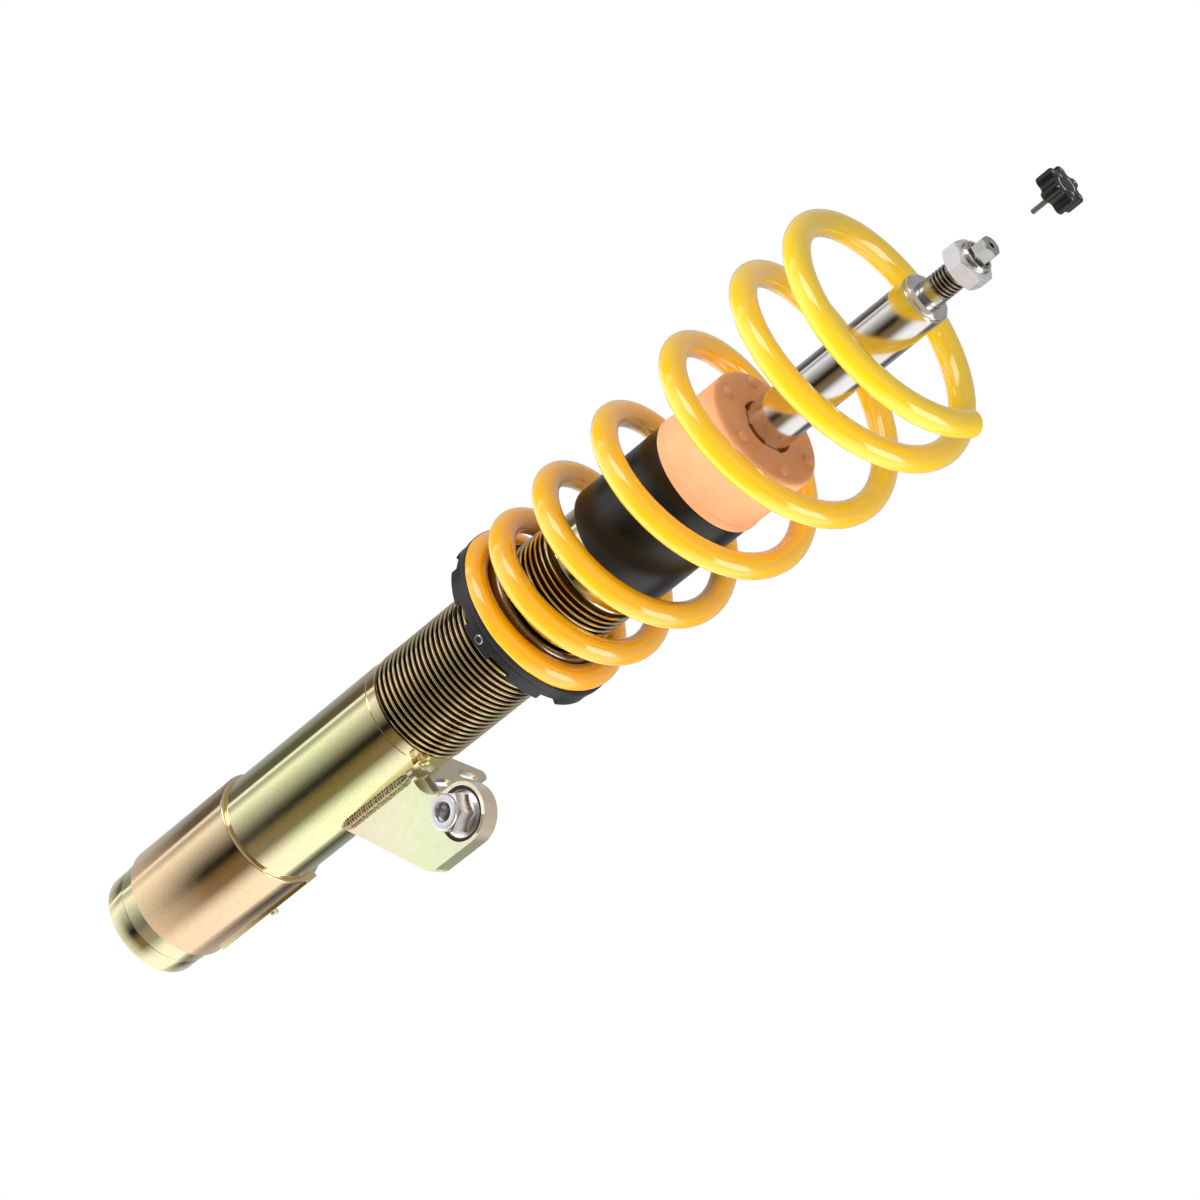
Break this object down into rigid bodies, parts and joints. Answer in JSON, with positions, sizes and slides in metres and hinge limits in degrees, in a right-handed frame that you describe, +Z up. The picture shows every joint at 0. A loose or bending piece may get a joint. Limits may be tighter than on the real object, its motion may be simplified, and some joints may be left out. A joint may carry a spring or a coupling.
{
  "type": "coilover strut",
  "caption": "Threaded strut-type coilover with a flared road spring on an adjustable seat, bump stop, link bracket and a rebound adjuster knob.",
  "frame": {"origin": "centre of the flat foot of the strut", "axes": "+Z up along the piston rod, +X towards the locating strip on the clamp sleeve, -Y towards the link nut's side"},
  "size_m": [0.1172, 0.1122, 0.561],
  "materials": {
    "tube_plating": "yellow zinc plated steel, greenish gold",
    "sleeve_plating": "zinc plated steel, rose gold",
    "bracket_plating": "yellow zinc plated steel, pale",
    "weld": "plated weld bead",
    "chrome": "hard chrome, polished",
    "bright_steel": "bright zinc",
    "inner_steel": "machined",
    "bronze": "sintered bronze",
    "spring_coat": "glossy yellow powder coat",
    "black_alloy": "black anodised, satin",
    "black_plastic": "satin moulded plastic",
    "bump_foam": "microcellular polyurethane, matte",
    "seal_rubber": "nitrile rubber"
  },
  "bodies": {
    "strut": {"foot_cap": "tube_plating", "strut_tube": "tube_plating", "clamp_sleeve": "sleeve_plating", "locating_strip": "tube_plating", "locating_pin": "bracket_plating", "link_bracket": "bracket_plating", "link_bracket_weld": "weld", "link_nut": "bright_steel", "line_bracket": "bracket_plating", "inner_tube": "inner_steel", "base_valve": "inner_steel", "rod_guide": "inner_steel", "guide_bush": "bronze", "guide_o_ring": "seal_rubber", "rod_seal": "seal_rubber", "head_nut": "inner_steel"},
    "rod": {"piston_rod": "chrome", "rebound_stop": "inner_steel", "piston": "inner_steel", "piston_band": "bronze", "compression_shims": "bright_steel", "rebound_shims": "bright_steel", "piston_nut": "inner_steel", "support_washer": "chrome", "top_nut": "bright_steel"},
    "needle": {"rebound_needle": "bronze"},
    "knob": {"knob_key": "bright_steel", "adjuster_knob": "black_plastic"},
    "bumper": {"bump_stop": "bump_foam", "dust_tube": "black_plastic"},
    "seat": {"spring_seat": "black_alloy", "coil_spring": "spring_coat"},
    "collar": {"adjusting_collar": "black_alloy", "clamp_screw": "bright_steel"}
  },
  "joints": [
    {"name": "rod_stroke", "type": "slide", "parent": "strut", "child": "rod", "axis": [0, 0, 1], "range_m": [-0.085, 0], "stiffness_N_per_m": 40000, "springref_m": 0.005, "deforming": ["coil_spring"]},
    {"name": "bump_stop_lift", "type": "slide", "parent": "strut", "child": "bumper", "axis": [0, 0, 1], "range_m": [0, 0.085]},
    {"name": "ride_height", "type": "slide", "parent": "strut", "child": "seat", "axis": [0, 0, 1], "range_m": [-0.04, 0.02]},
    {"name": "collar_turn", "type": "hinge", "parent": "seat", "child": "collar", "pos_m": [0, 0, 0.25], "axis": [0, 0, 1], "range_deg": [-4810, 2410]},
    {"name": "rebound_adjust", "type": "hinge", "parent": "rod", "child": "needle", "pos_m": [0, 0, 0.5], "axis": [0, 0, 1], "range_deg": [-540, 0]},
    {"name": "knob_lift", "type": "slide", "parent": "needle", "child": "knob", "axis": [0, 0, 1], "range_m": [-0.031, 0]}
  ],
  "couplings": [
    {"joint": "collar_turn", "follows": "ride_height", "rad_per_m": 2094.4}
  ]
}
